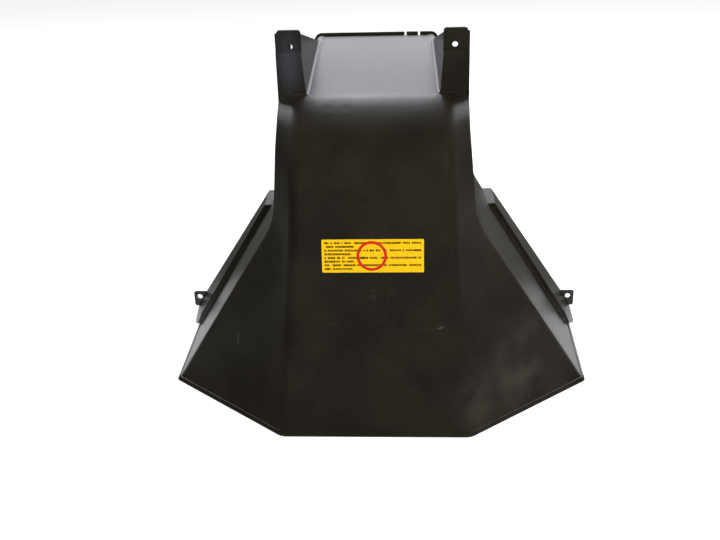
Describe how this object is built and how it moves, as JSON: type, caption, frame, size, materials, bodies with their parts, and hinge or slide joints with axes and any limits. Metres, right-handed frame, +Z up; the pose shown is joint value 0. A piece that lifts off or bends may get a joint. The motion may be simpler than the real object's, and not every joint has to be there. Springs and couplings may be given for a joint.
{
  "type": "mower discharge deflector",
  "caption": "Moulded black hood that turns cut grass down behind a ride-on mower: flared skirt, bent front panel, hollow mounting horns and side lugs.",
  "frame": {"origin": "under the middle of the part's box, on the plane of the rim", "axes": "+X to the right as seen from the front panel, +Y from the front panel towards the mower, +Z up from the rim to the horns"},
  "size_m": [0.706, 0.3652, 0.5823],
  "materials": {
    "shell_plastic": "satin moulded black",
    "sticker_film": "printed yellow film"
  },
  "bodies": {
    "root": {"deflector_shell": "shell_plastic", "label": "sticker_film"}
  },
  "joints": []
}
